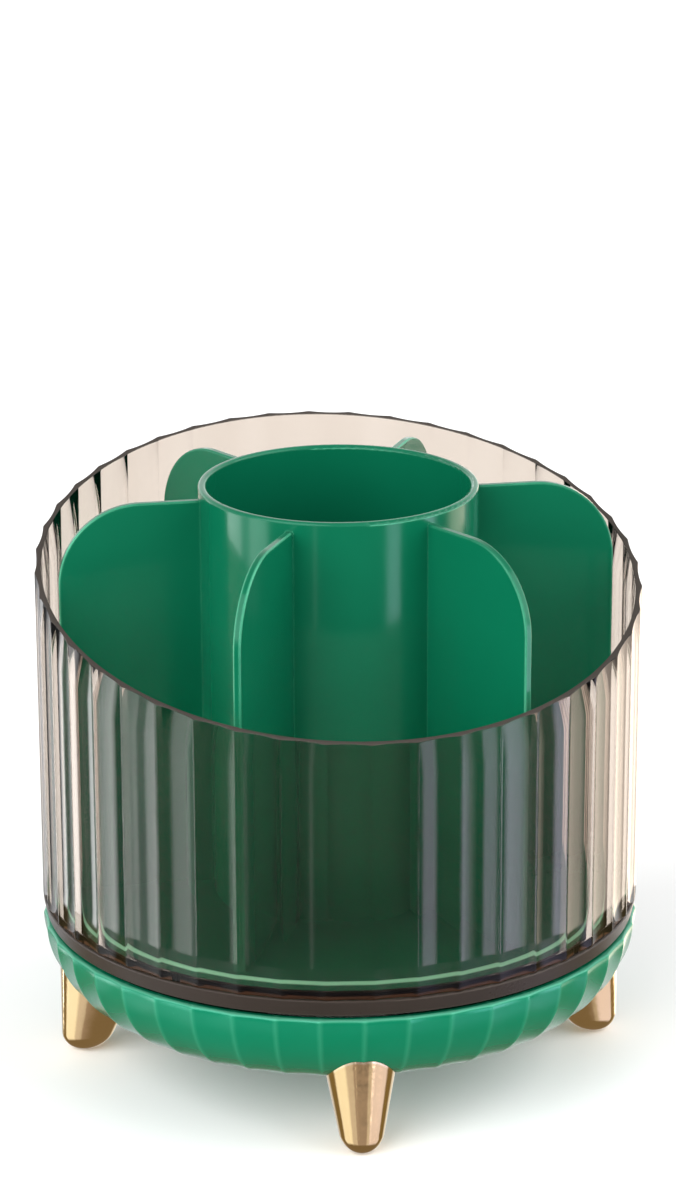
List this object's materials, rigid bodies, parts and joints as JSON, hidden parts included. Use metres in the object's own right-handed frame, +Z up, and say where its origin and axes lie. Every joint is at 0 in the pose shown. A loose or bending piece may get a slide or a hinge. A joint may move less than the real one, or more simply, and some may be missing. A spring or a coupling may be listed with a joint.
{
  "type": "rotating makeup brush holder",
  "caption": "Round desktop holder that turns on a footed base: clear fluted shell with a slanted rim around a tray with a tall centre cup and radial dividers.",
  "frame": {"origin": "on the table under the turning axis, which is the centre of the footprint", "axes": "+Z up along the turning axis; -Y towards the low side of the slanted rim; +X to the right seen from that side"},
  "size_m": [0.1498, 0.1498, 0.1486],
  "materials": {
    "green_base": "opaque green moulded plastic, polished",
    "green_tray": "opaque green moulded plastic, polished",
    "clear_shell": "clear plastic with a light smoke tint, polished",
    "dark_ring": "opaque dark grey-brown moulded plastic, polished",
    "gold_foot": "champagne gold electroplate on moulded plastic",
    "race": "natural low-friction moulded plastic",
    "cage": "black moulded plastic",
    "ball": "polished steel",
    "screw": "zinc-plated steel",
    "bolt": "zinc-plated steel",
    "slip_washer": "natural low-friction moulded plastic"
  },
  "bodies": {
    "base": {"base_bowl": "green_base", "foot_front": "gold_foot", "foot_right": "gold_foot", "foot_back": "gold_foot", "foot_left": "gold_foot", "foot_screws": "screw", "lower_race": "race", "lower_race_screws": "screw", "pivot_washer": "bolt", "slip_washer": "slip_washer"},
    "cage": {"ball_cage": "cage", "bearing_balls": "ball"},
    "turntable": {"turntable_plate": "dark_ring", "upper_race": "race", "upper_race_screws": "screw", "shell_screws": "screw", "pivot_bolt": "bolt", "pivot_nut": "bolt", "shell": "clear_shell"},
    "tray": {"divider_tray": "green_tray"}
  },
  "joints": [
    {"name": "turntable_spin", "type": "hinge", "parent": "base", "child": "turntable", "pos_m": [0, 0, 0.04], "axis": [0, 0, 1], "continuous": true},
    {"name": "cage_spin", "type": "hinge", "parent": "base", "child": "cage", "pos_m": [0, 0, 0.0358], "axis": [0, 0, 1], "continuous": true},
    {"name": "tray_lift", "type": "slide", "parent": "turntable", "child": "tray", "axis": [0, 0, 1], "range_m": [0, 0.105]}
  ],
  "couplings": [
    {"joint": "cage_spin", "follows": "turntable_spin", "ratio": 0.5}
  ]
}
